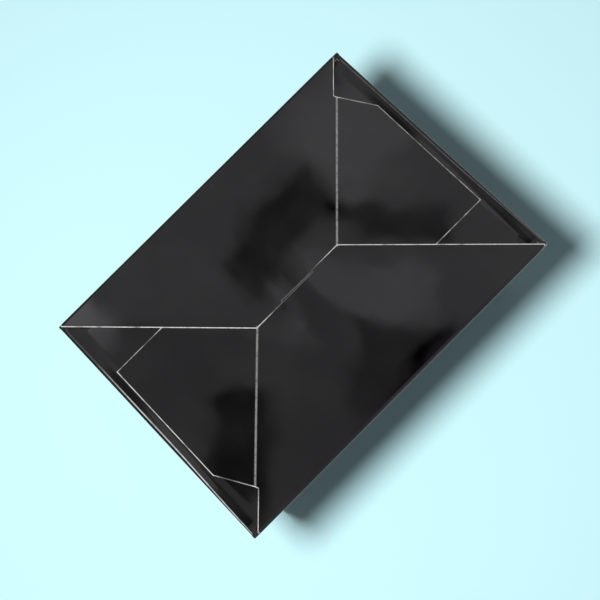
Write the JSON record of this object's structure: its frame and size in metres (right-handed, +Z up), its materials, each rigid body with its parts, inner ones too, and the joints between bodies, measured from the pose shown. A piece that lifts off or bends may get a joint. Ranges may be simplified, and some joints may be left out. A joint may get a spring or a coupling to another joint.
{
  "type": "crash lock box",
  "caption": "Rectangular folding carton in gloss black board with a self-locking crash lock base, dust flaps and a hinged tuck-in lid.",
  "frame": {"origin": "middle of the footprint, on the plane that the base rests on", "axes": "+X along the long side, +Y towards the back wall that the lid hangs on, +Z up through the lid"},
  "size_m": [0.122, 0.088, 0.06],
  "materials": {
    "carton_board": "black print under gloss film, white raw edges, uncoated pale inside",
    "lid_board": "black print under gloss film, white raw edges, uncoated pale inside"
  },
  "bodies": {
    "carton": {"carton": "carton_board"},
    "lid": {"lid": "lid_board"}
  },
  "joints": [
    {"name": "lid_hinge", "type": "hinge", "parent": "carton", "child": "lid", "pos_m": [0, 0.04378, 0.05978], "axis": [-1, 0, 0], "range_deg": [0, 178]}
  ]
}
